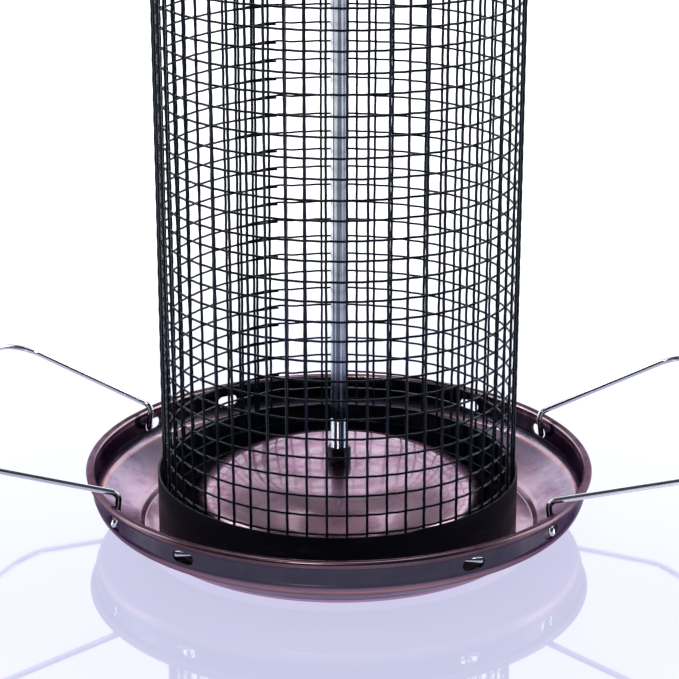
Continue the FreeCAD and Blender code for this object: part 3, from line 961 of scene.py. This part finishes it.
class FEEDER_OT_hanger(bpy.types.Operator):
    """Turn the eye nut on top of the rod and bend the hanging ring through it"""
    bl_idname = "feeder.hanger"
    bl_label = "Eye and ring"

    EYE_LEVEL = 375.0
    RING_RADIUS = 16.0
    RING_LEAN = -9.0  # degrees
    RING_GAP = 0.8  # degrees either side of the ring's cut
    RING_STEPS = 120

    def execute(self, context):
        eye = turned("eye_fitting", section(
            (2.77, 356.0), (4.5, 356.0), (5.0, 356.6), (5.0, 366.0), (4.6, 367.6), (3.6, 368.8), (2.4, 369.4),
            (0, 369.4), (0, 364.0), (2.77, 364.0), (2.77, 356.0),
        ), 64)
        loop = primitive(
            "torus", "eye_loop", major_radius=4.0 * MM, minor_radius=2.15 * MM, major_segments=64,
            minor_segments=28, location=(0, 0, self.EYE_LEVEL * MM), rotation=(math.radians(90), 0, 0),
        )
        carve(eye, loop, "UNION")
        plated = plain_metal("plated_eye", "zinc", 1.0, 0.20, 380.0)
        hand_over(smooth(rounded(eye, 0.25, 2, 40), 40), plated, "feeder", "zinc_steel", "eye_nut")
        lean = Matrix.Rotation(math.radians(self.RING_LEAN), 4, "Y")
        hang = Matrix.Translation((0, 0, self.EYE_LEVEL)) @ lean
        path = []
        for k in range(self.RING_STEPS + 1):
            turn = math.radians(self.RING_GAP + (360 - 2 * self.RING_GAP) * k / self.RING_STEPS)
            across, down = self.RING_RADIUS * math.sin(turn), self.RING_RADIUS * (1 + math.cos(turn))
            path.append(hang @ Vector((0, across, -down)))
        ring = wires("ring_wire", [path], sizes().ring_wire, 5, 0.3)
        hand_over(ring, plain_metal("plated_ring", "zinc", 1.0, 0.16, 420.0), "hanging_ring", "zinc_steel",
                  "hanging_ring")
        return {"FINISHED"}


# ---------------------------------------------------------------- studio

class FEEDER_OT_studio(bpy.types.Operator):
    """Lay the pale table, hang the soft lights and set up the camera"""
    bl_idname = "feeder.studio"
    bl_label = "Table, lights and camera"

    TARGET = Vector((0, 0, 0.0643))
    DISTANCE = 0.7192
    ELEVATION = 18.83
    AZIMUTH = 2.8
    FOCAL_LENGTH = 115.14
    SHIFT_ACROSS = 0.0009
    TABLE_SIDE = 12.0
    LAMP_AIM = Vector((0, 0, 0.05))
    ROOM_TINT = (0.93, 0.94, 1.0, 1.0)
    # world brightness against the heading: from, to, value before, value after
    TOWARDS_BACK = (-0.45, 0.45, 0.04, 1.0)
    UPWARDS = (0.47, 0.62, 1.95, 0.45)
    SEEN_DIRECTLY = 1.1
    LIGHTS = (
        # name, place, size across and deep, watts, tint
        ("top_softbox", (0.0, 0.15, 1.30), 0.9, 0.7, 7.0, (0.97, 0.97, 1.0)),
        ("left_strip", (-1.05, 0.10, 0.50), 0.30, 0.9, 4.0, (0.93, 0.95, 1.0)),
        ("right_strip", (1.05, 0.20, 0.50), 0.30, 0.9, 4.0, (1.0, 0.97, 0.98)),
        ("front_key", (-0.22, -0.85, 1.05), 0.22, 0.22, 4.0, (1.0, 0.80, 0.70)),
    )

    def execute(self, context):
        table = primitive("grid", "table_top", x_subdivisions=8, y_subdivisions=8, size=self.TABLE_SIDE)
        table.data.materials.append(glossy_table())
        for name, place, across, deep, watts, tint in self.LIGHTS:
            self.lamp(name, Vector(place), across, deep, watts, tint)
        self.surroundings(context.scene)
        self.camera(context.scene)
        context.scene.view_settings.view_transform = "Standard"
        return {"FINISHED"}

    @classmethod
    def lamp(cls, name, place, across, deep, watts, tint):
        light = bpy.data.lights.new(name, "AREA")
        light.shape = "RECTANGLE"
        light.size = across
        light.size_y = deep
        light.energy = watts
        light.color = tint
        lamp = bpy.data.objects.new(name, light)
        bpy.context.scene.collection.objects.link(lamp)
        lamp.location = place
        lamp.visible_camera = False
        lamp.rotation_euler = (cls.LAMP_AIM - place).to_track_quat("-Z", "Y").to_euler()

    def surroundings(self, scene):
        """White sweep low behind, dimmer above it, dark towards the front; even white where seen directly."""
        world = bpy.data.worlds.new("studio_room")
        world.use_nodes = True
        scene.world = world
        nodes, links = world.node_tree.nodes, world.node_tree.links
        heading = nodes.new("ShaderNodeTexCoord")
        parts = nodes.new("ShaderNodeSeparateXYZ")
        links.new(heading.outputs["Generated"], parts.inputs[0])

        def fade(axis, limits):
            node = nodes.new("ShaderNodeMapRange")
            node.interpolation_type = "SMOOTHSTEP"
            for socket, value in zip(("From Min", "From Max", "To Min", "To Max"), limits):
                node.inputs[socket].default_value = value
            links.new(parts.outputs[axis], node.inputs["Value"])
            return node.outputs[0]

        def maths(operation, first, second):
            node = nodes.new("ShaderNodeMath")
            node.operation = operation
            links.new(first, node.inputs[0])
            if isinstance(second, float):
                node.inputs[1].default_value = second
            else:
                links.new(second, node.inputs[1])
            return node.outputs[0]

        room = maths("MULTIPLY", fade("Y", self.TOWARDS_BACK), fade("Z", self.UPWARDS))
        camera_ray = nodes.new("ShaderNodeLightPath").outputs["Is Camera Ray"]
        seen = maths("MULTIPLY", camera_ray, self.SEEN_DIRECTLY)
        background = nodes["Background"]
        background.inputs["Color"].default_value = self.ROOM_TINT
        links.new(maths("MAXIMUM", room, seen), background.inputs["Strength"])

    def camera(self, scene):
        lens = bpy.data.cameras.new("studio_camera")
        lens.lens = self.FOCAL_LENGTH
        lens.sensor_width = 36.0
        lens.shift_x = self.SHIFT_ACROSS
        lens.clip_start = 0.01
        camera = bpy.data.objects.new("studio_camera", lens)
        scene.collection.objects.link(camera)
        rise, swing = math.radians(self.ELEVATION), math.radians(self.AZIMUTH)
        back = Vector((math.cos(rise) * math.sin(swing), -math.cos(rise) * math.cos(swing), math.sin(rise)))
        camera.location = self.TARGET + back * self.DISTANCE
        camera.rotation_euler = (-back).to_track_quat("-Z", "Y").to_euler()
        scene.camera = camera


# ---------------------------------------------------------------- add-on

OPERATORS = (
    FEEDER_OT_tray, FEEDER_OT_bands, FEEDER_OT_mesh, FEEDER_OT_rod, FEEDER_OT_perches, FEEDER_OT_lid,
    FEEDER_OT_knob, FEEDER_OT_hanger, FEEDER_OT_studio,
)


class FEEDER_PT_parts(bpy.types.Panel):
    """The feeder's sizes, colours and pieces"""
    bl_idname = "FEEDER_PT_parts"
    bl_label = "Bird feeder"
    bl_space_type = "VIEW_3D"
    bl_region_type = "UI"
    bl_category = "Feeder"

    def draw(self, context):
        for group in (context.scene.feeder_sizes, context.scene.feeder_colours):
            box = self.layout.box()
            for name in group.__annotations__:
                box.prop(group, name)
        for operator in OPERATORS:
            self.layout.operator(operator.bl_idname)


CLASSES = (FeederSizes, FeederColours, *OPERATORS, FEEDER_PT_parts)


def register():
    for kind in CLASSES:
        bpy.utils.register_class(kind)
    bpy.types.Scene.feeder_sizes = bpy.props.PointerProperty(type=FeederSizes)
    bpy.types.Scene.feeder_colours = bpy.props.PointerProperty(type=FeederColours)


def unregister():
    del bpy.types.Scene.feeder_colours
    del bpy.types.Scene.feeder_sizes
    for kind in reversed(CLASSES):
        bpy.utils.unregister_class(kind)


def main():
    register()
    for operator in OPERATORS:
        group, name = operator.bl_idname.split(".")
        getattr(getattr(bpy.ops, group), name)()
    deselect()


if __name__ == "__main__":
    main()
